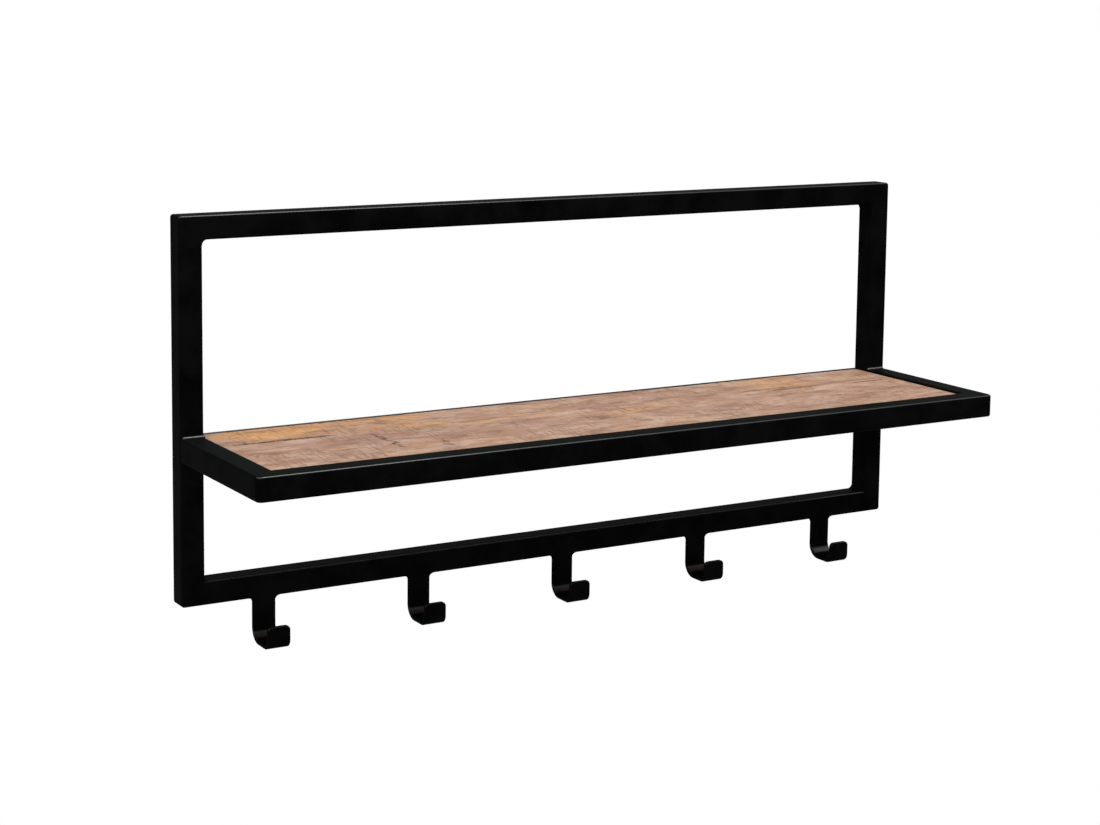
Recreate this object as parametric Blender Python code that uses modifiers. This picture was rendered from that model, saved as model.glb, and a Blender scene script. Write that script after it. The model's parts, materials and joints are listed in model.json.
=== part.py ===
"""Wall coat rack: a welded square-tube frame with a wooden shelf and five flat-bar hooks.

Units are metres. +Z is up, and -Y points out of the wall, towards the room.
The origin is the middle of the top rail's back face, so the wall is the plane y = 0.
"""

import math

import bmesh
import bpy
from mathutils import Matrix, Vector

# Wall frame
FRAME_WIDTH = 0.900
FRAME_HEIGHT = 0.400
TUBE = 0.025
TUBE_WALL = 0.0015
TUBE_CORNER = 0.0022

# Shelf
SHELF_REACH = 0.220  # from the wall to the front of the front rail
SHELF_HEIGHT = 0.175  # from the bottom of the frame to the top of the shelf tubes
BOARD_THICKNESS = 0.016
BOARD_RECESS = 0.0022  # the boards lie this far below the tops of the tubes
BACK_BOARD_WIDTH = 0.064
BOARD_EDGE = 0.0008
ANGLE_LEG = 0.020
ANGLE_THICKNESS = 0.003

# Hooks
HOOK_COUNT = 5
HOOK_WIDTH = 0.025
HOOK_THICKNESS = 0.004
HOOK_DROP = 0.046  # below the frame
HOOK_REACH = 0.042  # from the stem's back to the lip's front
HOOK_LIP = 0.0245  # the lip's top above the hook's lowest point
HOOK_BACK_BEND = 0.016
HOOK_FRONT_BEND = 0.009
HOOK_LIP_CORNER = 0.005

# Board supports
TAB_WIDTH = 0.030
TAB_DEPTH = 0.022
TAB_THICKNESS = 0.003
TAB_CORNER = 0.006
FRONT_TAB_SPACING = 0.280
BACK_SCREW_SPACING = 0.300

# Wood screws
SCREW_RADIUS = 0.0018
SCREW_LENGTH = 0.014
SCREW_HEAD_RADIUS = 0.0038
SCREW_HEAD_HEIGHT = 0.0022

# Keyholes in the posts' back walls
KEYHOLE_HEAD_RADIUS = 0.005
KEYHOLE_SLOT_RADIUS = 0.0025
KEYHOLE_TRAVEL = 0.010
KEYHOLE_INSET = 0.045  # from the frame's top and bottom

# Clearances
JOINT_GAP = 0.0003
SCREW_CLEARANCE = 0.0004
CUT_MARGIN = 0.002

FRAME_TOP = TUBE / 2
FRAME_BOTTOM = FRAME_TOP - FRAME_HEIGHT
POST_X = (FRAME_WIDTH - TUBE) / 2
INNER_X = FRAME_WIDTH / 2 - TUBE
TUBE_Y = -TUBE / 2
SHELF_TOP = FRAME_BOTTOM + SHELF_HEIGHT
FRONT_RAIL_Y = -SHELF_REACH + TUBE / 2
BOARD_TOP = SHELF_TOP - BOARD_RECESS
BOARD_BOTTOM = BOARD_TOP - BOARD_THICKNESS
BOARD_BACK = -ANGLE_THICKNESS - JOINT_GAP
BOARD_FRONT = -SHELF_REACH + TUBE + JOINT_GAP
SUPPORT_TOP = BOARD_BOTTOM - JOINT_GAP

OUT = {"left": Vector((-1, 0, 0)), "right": Vector((1, 0, 0))}
UP = Vector((0, 0, 1))
DOWN = -UP
FORWARD = Vector((0, -1, 0))


def clear_scene():
    for obj in list(bpy.data.objects):
        bpy.data.objects.remove(obj)


def new_collection(name):
    collection = bpy.data.collections.new(name)
    bpy.context.scene.collection.children.link(collection)
    return collection


def material(name, colour, roughness, metallic):
    finish = bpy.data.materials.new(name)
    finish.use_nodes = True
    shader = finish.node_tree.nodes["Principled BSDF"]
    shader.inputs["Base Color"].default_value = (*colour, 1)
    shader.inputs["Roughness"].default_value = roughness
    shader.inputs["Metallic"].default_value = metallic
    return finish


def arc(centre, radius, start, end, steps):
    """Points on a circle, from one angle to another, in degrees."""
    angles = [math.radians(start + (end - start) * i / steps) for i in range(steps + 1)]
    return [(centre[0] + radius * math.cos(a), centre[1] + radius * math.sin(a)) for a in angles]


def rounded_rectangle(width, height, radius, steps=4):
    """A closed outline round the origin, with four rounded corners."""
    corners = ((1, 1, 0), (-1, 1, 90), (-1, -1, 180), (1, -1, 270))
    points = []
    for side, level, start in corners:
        centre = (side * (width / 2 - radius), level * (height / 2 - radius))
        points += arc(centre, radius, start, start + 90, steps)
    return points


def extruded(outlines, depth):
    """A mesh of flat outlines, of which the inner ones are holes, drawn out evenly along Z."""
    curve = bpy.data.curves.new("outline", "CURVE")
    curve.dimensions = "2D"
    curve.fill_mode = "BOTH"
    curve.extrude = depth / 2
    for points in outlines:
        spline = curve.splines.new("POLY")
        spline.points.add(len(points) - 1)
        for knot, (x, y) in zip(spline.points, points):
            knot.co = (x, y, 0, 1)
        spline.use_cyclic_u = True
    guide = bpy.data.objects.new("outline", curve)
    bpy.context.scene.collection.objects.link(guide)
    graph = bpy.context.evaluated_depsgraph_get()
    mesh = bpy.data.meshes.new_from_object(guide.evaluated_get(graph))
    bpy.data.objects.remove(guide)
    bm = bmesh.new()
    bm.from_mesh(mesh)
    bmesh.ops.remove_doubles(bm, verts=bm.verts, dist=1e-6)
    bmesh.ops.recalc_face_normals(bm, faces=bm.faces)
    bm.to_mesh(mesh)
    bm.free()
    return mesh


def add_part(name, mesh, finish, matrix=None):
    mesh.name = name
    if not mesh.materials:
        mesh.materials.append(finish)
    part = bpy.data.objects.new(name, mesh)
    parts.objects.link(part)
    part.matrix_world = matrix or Matrix()
    return part


def add_cutter(name, mesh, matrix):
    cutter = bpy.data.objects.new(name, mesh)
    cutters.objects.link(cutter)
    cutter.matrix_world = matrix
    cutter.hide_render = True
    cutter.display_type = "WIRE"
    return cutter


def cut(part, cutter):
    boolean = part.modifiers.new(cutter.name, "BOOLEAN")
    boolean.operation = "DIFFERENCE"
    boolean.solver = "EXACT"
    boolean.object = cutter


def facing(x_axis, z_axis, centre):
    """A placing whose own X and Z point along the two given directions."""
    y_axis = z_axis.cross(x_axis)
    turn = Matrix((x_axis, y_axis, z_axis)).transposed().to_4x4()
    return Matrix.Translation(centre) @ turn


def shade_round(mesh):
    mesh.shade_smooth()
    mesh.set_sharp_from_angle(angle=math.radians(35))


def square_tube(name, length, outward, along, centre, mitred=(True, True)):
    """A hollow square tube. A mitred end is cut back by as much as it lies inside the corner."""
    inner = TUBE - 2 * TUBE_WALL
    inner_corner = max(TUBE_CORNER - TUBE_WALL, TUBE_WALL / 4)
    mesh = extruded(
        [rounded_rectangle(TUBE, TUBE, TUBE_CORNER), rounded_rectangle(inner, inner, inner_corner, 2)],
        length,
    )
    for vertex in mesh.vertices:
        end = 1 if vertex.co.z > 0 else -1
        if mitred[end > 0]:
            vertex.co.z -= end * (TUBE / 2 - vertex.co.x + JOINT_GAP / math.sqrt(2))
    shade_round(mesh)
    return add_part(name, mesh, black_paint, facing(outward, along, centre))


def wall_frame():
    middle = (FRAME_TOP + FRAME_BOTTOM) / 2
    square_tube("top_rail", FRAME_WIDTH, UP, OUT["right"], (0, TUBE_Y, 0))
    square_tube("bottom_rail", FRAME_WIDTH, DOWN, OUT["right"], (0, TUBE_Y, FRAME_BOTTOM + TUBE / 2))
    keyhole = keyhole_outline()
    heights = {"top": FRAME_TOP - KEYHOLE_INSET, "bottom": FRAME_BOTTOM + KEYHOLE_INSET}
    for side, outward in OUT.items():
        x = outward.x * POST_X
        post = square_tube(side + "_post", FRAME_HEIGHT, outward, UP, (x, TUBE_Y, middle))
        for level, z in heights.items():
            mesh = extruded([keyhole], 2 * CUT_MARGIN)
            place = facing(OUT["right"], FORWARD, (x, 0, z))
            cut(post, add_cutter(f"keyhole_{side}_{level}", mesh, place))


def keyhole_outline():
    """A round hole with a slot above it that ends in a half circle."""
    meet = math.degrees(math.acos(KEYHOLE_SLOT_RADIUS / KEYHOLE_HEAD_RADIUS))
    head = arc((0, 0), KEYHOLE_HEAD_RADIUS, 180 - meet, 360 + meet, 24)
    return head + arc((0, KEYHOLE_TRAVEL), KEYHOLE_SLOT_RADIUS, 0, 180, 10)


def shelf_frame():
    reach = SHELF_REACH - TUBE - JOINT_GAP
    level = SHELF_TOP - TUBE / 2
    for side, outward in OUT.items():
        centre = (outward.x * POST_X, -SHELF_REACH + reach / 2, level)
        square_tube("shelf_arm_" + side, reach, outward, FORWARD, centre, (False, True))
    square_tube("shelf_front_rail", FRAME_WIDTH, FORWARD, OUT["right"], (0, FRONT_RAIL_Y, level))


def back_angle():
    """An angle section between the posts: its upright leg closes the back, and the boards rest on the other."""
    leg, thick = ANGLE_LEG, ANGLE_THICKNESS
    outline = [(0, 0), (leg, 0), (leg, thick), (thick, thick), (thick, leg), (0, leg)]
    mesh = extruded([outline], 2 * (INNER_X - JOINT_GAP))
    place = facing(FORWARD, OUT["left"], (0, 0, SUPPORT_TOP - thick))
    return add_part("shelf_back_angle", mesh, black_paint, place)


def board(name, back, front):
    """A board between two depths, with slightly broken edges."""
    bm = bmesh.new()
    bmesh.ops.create_cube(bm, size=1)
    size = (2 * (INNER_X - JOINT_GAP), back - front, BOARD_THICKNESS)
    bmesh.ops.scale(bm, vec=size, verts=bm.verts)
    mesh = bpy.data.meshes.new(name)
    bm.to_mesh(mesh)
    bm.free()
    centre = Vector((0, (back + front) / 2, (BOARD_TOP + BOARD_BOTTOM) / 2))
    part = add_part(name, mesh, mango_wood, Matrix.Translation(centre))
    bevel = part.modifiers.new("broken edges", "BEVEL")
    bevel.width = BOARD_EDGE
    bevel.segments = 2
    return part


def boards():
    seam = BOARD_BACK - BACK_BOARD_WIDTH
    back = board("shelf_board_back", BOARD_BACK, seam)
    front = board("shelf_board_front", seam - JOINT_GAP, BOARD_FRONT)
    return back, front


def tab(name, edge, inward):
    """A plate welded to the inside of a shelf tube, round at its free corners. Returns its screw's place."""
    depth, half = TAB_DEPTH / 2, TAB_WIDTH / 2
    outline = [(-depth, half), (-depth, -half)]
    outline += arc((depth - TAB_CORNER, TAB_CORNER - half), TAB_CORNER, -90, 0, 4)
    outline += arc((depth - TAB_CORNER, half - TAB_CORNER), TAB_CORNER, 0, 90, 4)
    hole = arc((0, 0), SCREW_RADIUS + SCREW_CLEARANCE, 0, 337.5, 15)
    centre = Vector(edge) + inward * (depth + JOINT_GAP)
    centre.z = SUPPORT_TOP - TAB_THICKNESS / 2
    add_part(name, extruded([outline, hole], TAB_THICKNESS), black_paint, facing(inward, UP, centre))
    return centre.x, centre.y


def board_supports():
    """The tabs, and where each one's screw goes."""
    spots = []
    rear_of_rail = -SHELF_REACH + TUBE
    for name, step in (("left", -1), ("middle", 0), ("right", 1)):
        edge = (step * FRONT_TAB_SPACING, rear_of_rail, 0)
        spots.append(tab("tab_front_" + name, edge, -FORWARD))
    for side, outward in OUT.items():
        edge = (outward.x * INNER_X, (rear_of_rail - TUBE) / 2, 0)
        spots.append(tab("tab_side_" + side, edge, -outward))
    return spots


def cylinder(radius, depth, segments=20):
    bm = bmesh.new()
    bmesh.ops.create_cone(
        bm, cap_ends=True, segments=segments, radius1=radius, radius2=radius, depth=depth
    )
    mesh = bpy.data.meshes.new("cylinder")
    bm.to_mesh(mesh)
    bm.free()
    return mesh


def screw_mesh():
    """A pan-head wood screw's profile, head up, for a Screw modifier to turn."""
    head, rim, shank = SCREW_HEAD_HEIGHT, SCREW_HEAD_RADIUS, SCREW_RADIUS
    point = 2 * shank
    profile = [
        (0, head),
        (rim * 0.55, head),
        (rim * 0.88, head * 0.75),
        (rim, head * 0.35),
        (rim * 0.98, 0),
        (shank, 0),
        (shank, point - SCREW_LENGTH),
        (0, -SCREW_LENGTH),
    ]
    mesh = bpy.data.meshes.new("wood_screw")
    corners = [(r, 0, z) for r, z in profile]
    mesh.from_pydata(corners, [(i, i + 1) for i in range(len(profile) - 1)], [])
    return mesh


def screws(tab_spots, angle, back_board, front_board):
    """Screws driven upwards through the tabs and the angle, each with its hole in the board above it."""
    back_y = -(ANGLE_THICKNESS + ANGLE_LEG) / 2
    spots = [(x, y, TAB_THICKNESS, front_board) for x, y in tab_spots]
    spots += [(step * BACK_SCREW_SPACING, back_y, ANGLE_THICKNESS, back_board) for step in (-1, 0, 1)]
    shared = screw_mesh()
    hole_radius = SCREW_RADIUS + SCREW_CLEARANCE
    for number, (x, y, plate, wood) in enumerate(spots, 1):
        seat = SUPPORT_TOP - plate - JOINT_GAP
        place = Matrix.Translation((x, y, seat)) @ Matrix.Rotation(math.pi, 4, "X")
        screw = add_part(f"screw_{number}", shared, zinc, place)
        turned = screw.modifiers.new("turned", "SCREW")
        turned.steps = turned.render_steps = 16
        turned.use_merge_vertices = True
        turned.merge_threshold = 1e-6
        turned.use_smooth_shade = True
        low = BOARD_BOTTOM - CUT_MARGIN
        high = seat + SCREW_LENGTH + SCREW_CLEARANCE
        place = Matrix.Translation((x, y, (high + low) / 2))
        cut(wood, add_cutter(f"pilot_{number}", cylinder(hole_radius, high - low), place))
        if wood is back_board:
            place = Matrix.Translation((x, y, SUPPORT_TOP - plate / 2))
            through = cylinder(hole_radius, plate + 2 * CUT_MARGIN)
            cut(angle, add_cutter(f"angle_hole_{number}", through, place))


def hook_mesh():
    """A strip that follows a J, wide as the bar, with its lip's corners rounded; Solidify thickens it."""
    half = HOOK_THICKNESS / 2
    back, front = HOOK_BACK_BEND - half, HOOK_FRONT_BEND - half
    floor = half - HOOK_DROP
    front_y = HOOK_THICKNESS - HOOK_REACH
    path = [(0, -JOINT_GAP)]
    path += arc((-back, floor + back), back, 0, -90, 7)
    path += arc((front_y + front, floor + front), front, -90, -180, 6)
    widths = [HOOK_WIDTH / 2] * len(path)
    lip_top = HOOK_LIP - HOOK_DROP
    for inset, rise in arc((0, 0), HOOK_LIP_CORNER, 0, 90, 5):
        path.append((front_y, lip_top - HOOK_LIP_CORNER + rise))
        widths.append(HOOK_WIDTH / 2 - HOOK_LIP_CORNER + inset)
    bm = bmesh.new()
    rows = [
        [bm.verts.new((side * wide, y, z)) for side in (-1, 1)] for (y, z), wide in zip(path, widths)
    ]
    for (a, b), (c, d) in zip(rows, rows[1:]):
        bm.faces.new((a, c, d, b))
    mesh = bpy.data.meshes.new("hook")
    bm.to_mesh(mesh)
    bm.free()
    shade_round(mesh)
    return mesh


def hooks():
    """Hooks spread evenly along the bottom rail, their stems flush with its front."""
    shared = hook_mesh()
    pitch = FRAME_WIDTH / HOOK_COUNT
    for number in range(1, HOOK_COUNT + 1):
        x = (number - (HOOK_COUNT + 1) / 2) * pitch
        place = Matrix.Translation((x, HOOK_THICKNESS / 2 - TUBE, FRAME_BOTTOM))
        hook = add_part(f"hook_{number}", shared, black_paint, place)
        thick = hook.modifiers.new("bar", "SOLIDIFY")
        thick.thickness = HOOK_THICKNESS
        thick.offset = 0
        thick.use_even_offset = True


clear_scene()
parts = new_collection("wall_coat_rack")
cutters = new_collection("cutters")
black_paint = material("black_paint", (0.012, 0.012, 0.013), 0.42, 0.0)
mango_wood = material("mango_wood", (0.44, 0.27, 0.17), 0.65, 0.0)
zinc = material("zinc", (0.62, 0.62, 0.60), 0.35, 1.0)

wall_frame()
shelf_frame()
angle_bar = back_angle()
rear_board, main_board = boards()
screws(board_supports(), angle_bar, rear_board, main_board)
hooks()
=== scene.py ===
"""The finished look of a wall coat rack: a welded square-tube frame, its boards and five flat-bar hooks.

Units are metres. +Z is up, and -Y points out of the wall, towards the room. Every size that the solids
already have is read from the frame, and each property group holds what a user would change.
"""

import json
import math

import bmesh
import bpy
from bpy.props import FloatProperty, FloatVectorProperty, IntProperty, PointerProperty
from mathutils import Matrix, Vector, noise


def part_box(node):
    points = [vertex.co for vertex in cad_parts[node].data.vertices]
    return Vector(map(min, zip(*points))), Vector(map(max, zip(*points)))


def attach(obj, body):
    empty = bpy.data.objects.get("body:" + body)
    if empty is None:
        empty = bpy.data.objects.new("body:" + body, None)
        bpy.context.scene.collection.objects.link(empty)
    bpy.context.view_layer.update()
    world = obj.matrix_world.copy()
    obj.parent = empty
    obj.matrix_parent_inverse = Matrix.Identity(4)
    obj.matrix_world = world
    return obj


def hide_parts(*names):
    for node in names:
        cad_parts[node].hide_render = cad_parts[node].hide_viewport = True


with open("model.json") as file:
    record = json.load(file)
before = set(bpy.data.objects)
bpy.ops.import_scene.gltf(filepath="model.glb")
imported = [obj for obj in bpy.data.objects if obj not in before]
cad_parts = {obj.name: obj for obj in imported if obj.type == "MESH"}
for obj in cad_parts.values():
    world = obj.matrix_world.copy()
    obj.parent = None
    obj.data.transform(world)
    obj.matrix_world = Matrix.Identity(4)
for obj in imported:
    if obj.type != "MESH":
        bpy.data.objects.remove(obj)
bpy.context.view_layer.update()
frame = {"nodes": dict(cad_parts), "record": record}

bl_info = {
    "name": "Wall Coat Rack",
    "version": (1, 0, 0),
    "blender": (4, 5, 0),
    "location": "View3D > Sidebar > Coat Rack",
    "description": "Builds the boards, hooks, welds, screws and finishes of a wall coat rack",
    "category": "Object",
}

BODY = "root"
LEFT, RIGHT, FORWARD, DOWN, UP = (
    Vector(way) for way in ((-1, 0, 0), (1, 0, 0), (0, -1, 0), (0, 0, -1), (0, 0, 1))
)
TUBES = {  # the way each tube runs, the way its outer face looks, and whether each end is mitred
    "left_post": (UP, LEFT, (True, True)),
    "right_post": (UP, RIGHT, (True, True)),
    "top_rail": (RIGHT, UP, (True, True)),
    "bottom_rail": (RIGHT, DOWN, (True, True)),
    "shelf_arm_left": (FORWARD, LEFT, (False, True)),
    "shelf_arm_right": (FORWARD, RIGHT, (False, True)),
    "shelf_front_rail": (RIGHT, FORWARD, (True, True)),
}
TABS = ("tab_front_left", "tab_front_middle", "tab_front_right", "tab_side_left", "tab_side_right")
HOOKS = [f"hook_{number}" for number in range(1, 6)]
SCREWS = [f"screw_{number}" for number in range(1, 9)]
SIDES = (-1, 1)
SHARP = math.radians(40)  # an edge is left sharp where its faces meet at more than this
KERF_CURVE = 0.8  # how strongly the saw's marks curve across a board

POST_LOW, POST_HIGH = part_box("right_post")
FRONT_LOW, FRONT_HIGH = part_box("shelf_front_rail")
ANGLE_LOW, ANGLE_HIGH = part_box("shelf_back_angle")
TUBE = POST_HIGH.x - POST_LOW.x
INNER_X, OUTER_X = POST_LOW.x, POST_HIGH.x
FRAME_TOP, FRAME_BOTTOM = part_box("top_rail")[1].z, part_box("bottom_rail")[0].z
SHELF_TOP, SHELF_BOTTOM = FRONT_HIGH.z, FRONT_LOW.z
MOUNTS = {mount["name"]: Vector(mount["pos_m"]) for mount in frame["record"]["mounts"]}


# Property groups: what a user would change

def size_property(name, description, default):
    return FloatProperty(
        name=name, description=description, subtype="DISTANCE", unit="LENGTH", precision=5, default=default,
    )


def colour_property(name, description, default):
    return FloatVectorProperty(
        name=name, description=description, subtype="COLOR", size=3, min=0, max=1, default=default,
    )


def angle_property(name, description, degrees):
    return FloatProperty(
        name=name, description=description, subtype="ANGLE", unit="ROTATION", default=math.radians(degrees),
    )


class RackPaint(bpy.types.PropertyGroup):
    colour: colour_property("Colour", "Colour of the black powder coat", (0.0019, 0.0019, 0.0021))
    thin_colour: colour_property(
        "Thin coat", "Colour of the coat in its thinner, cloudy patches and specks", (0.0042, 0.0042, 0.0044),
    )
    # Dust and painted sheen: faces that look up fade to this lighter greenish colour, partly dust and partly
    # painted light from above.
    dust_and_sheen_colour: colour_property(
        "Dust and sheen", "Colour that the coat fades to on faces that look up", (0.0062, 0.0082, 0.0066),
    )
    # Painted highlight: a pale bluish colour on the rounded upper front corners.
    edge_highlight_colour: colour_property(
        "Edge highlight", "Colour of the coat where the corners are given a painted highlight", (0.010, 0.010, 0.015),
    )
    roughness: FloatProperty(
        name="Roughness", description="Roughness of the satin coat",
        subtype="FACTOR", min=0, max=1, default=0.5,
    )
    peel_depth: size_property("Peel depth", "Depth of the coat's orange-peel texture", 0.00005)


class RackWood(bpy.types.PropertyGroup):
    tan: colour_property("Tan", "Main colour of the mango wood", (0.48, 0.29, 0.195))
    pale: colour_property("Pale fibre", "Colour of the palest streaks", (0.62, 0.43, 0.33))
    reddish: colour_property("Reddish", "Colour of the reddish clouds and bands", (0.40, 0.20, 0.133))
    golden: colour_property("Golden", "Colour of the orange sapwood stretches", (0.74, 0.375, 0.135))
    dark: colour_property("Dark streak", "Colour of the darker figure and saw marks", (0.22, 0.12, 0.083))
    crack: colour_property("Crack", "Colour inside cracks, pores and the seam", (0.065, 0.035, 0.027))
    kerf_pitch: size_property("Kerf pitch", "Distance between the saw's marks across a board", 0.0062)
    kerf_depth: size_property("Kerf depth", "Depth of the saw's marks", 0.00012)
    arris: size_property("Worn edge", "Largest radius of a board's worn edges", 0.0016)
    step: size_property("Mesh step", "Distance between the boards' mesh lines", 0.0018)


class RackHooks(bpy.types.PropertyGroup):
    back_bend: size_property("Back bend", "Outer radius of the bend under the stem", 0.016)
    front_bend: size_property("Front bend", "Outer radius of the bend under the lip", 0.009)
    lip_corner: size_property("Lip corner", "Radius of the lip's two top corners", 0.005)
    lip: size_property("Lip height", "Height of the lip's top above the hook's lowest point", 0.0245)
    rail_corner: size_property(
        "Into the rail", "How far a stem runs up beside the rail's rounded lower corner", 0.0022,
    )
    edge: size_property("Edge radius", "Radius of the flat bar's long edges", 0.0006)


class RackTubes(bpy.types.PropertyGroup):
    tube_corner: size_property("Tube corner", "Outer radius of the square tube's long corners", 0.0022)
    tube_wall: size_property("Tube wall", "Thickness of the square tube's wall", 0.0015)
    frame_corner: size_property(
        "Frame corners", "Radius that the wall frame's mitred corners are ground to", 0.0032,
    )
    shelf_corner: size_property(
        "Shelf corners", "Radius that the shelf's front corners are ground to", 0.0064,
    )
    angle_edge: size_property("Angle edge", "Radius of the angle bar's long edges", 0.0011)
    keyhole_head: size_property("Keyhole head", "Radius of a keyhole's round end", 0.005)
    keyhole_slot: size_property("Keyhole slot", "Radius of a keyhole's slot", 0.0025)
    keyhole_travel: size_property("Keyhole travel", "How far a hung rack drops in its keyholes", 0.010)
    keyhole_inset: size_property(
        "Keyhole inset", "Distance of the keyholes from the frame's top and bottom", 0.045,
    )


class RackWelds(bpy.types.PropertyGroup):
    pitch: size_property("Ripple pitch", "Distance between a bead's ripples", 0.0013)
    tube_bead: size_property("Tube bead", "Radius of the beads between tubes", 0.0034)
    flush_bead: size_property("Flush bead", "Radius of the low beads at the posts' outer sides", 0.0013)
    plate_bead: size_property("Plate bead", "Radius of the beads along tabs, hooks and the angle", 0.0017)
    top_fillet: size_property(
        "Top fillets", "Size of the welds in the wall frame's top inner corners", 0.0058,
    )
    bottom_fillet: size_property(
        "Bottom fillets", "Size of the welds in the wall frame's bottom inner corners", 0.0036,
    )
    hook_fillet: size_property(
        "Hook fillets", "Size of the weld at the right side of each hook's stem", 0.0058,
    )
    seed: IntProperty(name="Seed", description="Seed of the ripples' uneven sizes", default=7)


class RackScrews(bpy.types.PropertyGroup):
    head_height: size_property("Head height", "Height of the pan head", 0.0022)
    shank_radius: size_property("Shank radius", "Radius of the shank over its thread", 0.0018)
    recess_width: size_property("Recess width", "Width of the cross recess across its arms", 0.0042)
    recess_depth: size_property("Recess depth", "Depth of the cross recess", 0.0014)
    thread_pitch: size_property("Thread pitch", "Distance between the thread's turns", 0.0016)
    seed: IntProperty(name="Seed", description="Seed of the way each recess is turned", default=3)


class RackStudio(bpy.types.PropertyGroup):
    floor_drop: size_property(
        "Floor below", "How far the floor lies below the middle of the top rail", 1.75,
    )
    world_level: FloatProperty(
        name="Surround", description="Level of the even light from all round", min=0, default=0.5,
    )
    key_power: FloatProperty(
        name="Top light", description="Power of the softbox above the shelf", unit="POWER", default=26,
    )
    fill_power: FloatProperty(
        name="Side light", description="Power of the softbox at the left", unit="POWER", default=30,
    )
    camera_place: FloatVectorProperty(
        name="Camera", description="Where the camera stands",
        subtype="TRANSLATION", unit="LENGTH", size=3, default=(-1.24512, -2.08563, 0.25070),
    )
    camera_pan: angle_property("Pan", "The camera's turn to the right of straight at the wall", 30.707)
    camera_tilt: angle_property("Tilt", "The camera's turn down from level", 7.006)
    camera_roll: angle_property("Roll", "The camera's turn round its own line of sight", 0.656)
    lens: FloatProperty(name="Lens", description="Focal length in millimetres", default=72.314)
    rise: FloatProperty(name="Shift", description="Upward shift of the lens", default=-0.14773)


# Node trees

class Value:
    """A node's socket that does arithmetic: each operator adds a Math node to the socket's own tree."""

    def __init__(self, socket):
        self.socket = socket

    def maths(self, operation, *values):
        tree = Nodes(self.socket.id_data)
        return tree.add("ShaderNodeMath", {"operation": operation}, dict(enumerate(values)))

    def __add__(self, other):
        return self.maths("ADD", self, other)

    def __radd__(self, other):
        return self.maths("ADD", other, self)

    def __sub__(self, other):
        return self.maths("SUBTRACT", self, other)

    def __rsub__(self, other):
        return self.maths("SUBTRACT", other, self)

    def __mul__(self, other):
        return self.maths("MULTIPLY", self, other)

    def __rmul__(self, other):
        return self.maths("MULTIPLY", other, self)

    def __abs__(self):
        return self.maths("ABSOLUTE", self)


class Nodes:
    """A node tree with one way to add a node: its type, its settings, and its sockets' values or links."""

    def __init__(self, tree):
        self.tree = tree

    def add(self, kind, settings=None, sockets=None, output=0):
        """Adds a node and returns the value of one of its outputs, or the node itself if output is None."""
        node = self.tree.nodes.new(kind)
        for name, setting in (settings or {}).items():
            setattr(node, name, setting)
        self.feed(node, sockets or {})
        return node if output is None else Value(self.find(node.outputs, output))

    def feed(self, node, sockets):
        """Links or sets a node's sockets."""
        for name, value in sockets.items():
            socket = self.find(node.inputs, name)
            if isinstance(value, Value):
                self.tree.links.new(value.socket, socket)
            else:
                socket.default_value = value

    @staticmethod
    def find(sockets, name):
        if isinstance(name, int):
            return sockets[name]
        return next(s for s in sockets if s.enabled and name in (s.identifier, s.name))

    def mix(self, factor, first, second, blend="MIX"):
        """Two colours mixed. A plain colour has three numbers."""
        first, second = (side if isinstance(side, Value) else (*side, 1.0) for side in (first, second))
        sockets = {"Factor_Float": factor, "A_Color": first, "B_Color": second}
        settings = {"data_type": "RGBA", "blend_type": blend}
        return self.add("ShaderNodeMix", settings, sockets, "Result_Color")

    def band(self, value, low, high, start=0.0, end=1.0):
        """Value turned smoothly from start to end as it goes from low to high."""
        sockets = {"Value": value, "From Min": low, "From Max": high, "To Min": start, "To Max": end}
        return self.add("ShaderNodeMapRange", {"interpolation_type": "SMOOTHSTEP"}, sockets)

    def scaled(self, point, scale, location=(0, 0, 0)):
        return self.add("ShaderNodeMapping", None, {"Vector": point, "Scale": scale, "Location": location})

    def noise(self, point, scale, detail=3.0, roughness=0.55, shift=(0, 0, 0)):
        """Cloudy noise. A scale of three numbers stretches it, and shift then moves it."""
        if isinstance(scale, tuple):
            point, scale = self.scaled(point, scale, shift), 1.0
        sockets = {"Vector": point, "Scale": scale, "Detail": detail, "Roughness": roughness}
        return self.add("ShaderNodeTexNoise", None, sockets, "Fac")

    def split(self, vector):
        node = self.add("ShaderNodeSeparateXYZ", None, {"Vector": vector}, None)
        return [Value(socket) for socket in node.outputs]

    def largest(self, first, second):
        return first.maths("MAXIMUM", first, second)

    def bump(self, height):
        """The surface's direction, bent by a height in metres."""
        return self.add("ShaderNodeBump", None, {"Strength": 1.0, "Distance": 1.0, "Height": height})


def new_material(name):
    """A material with an empty Principled shader. Returns it, its tree and the shader."""
    made = bpy.data.materials.new(name)
    made.use_nodes = True
    return made, Nodes(made.node_tree), made.node_tree.nodes["Principled BSDF"]


# Materials

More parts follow.
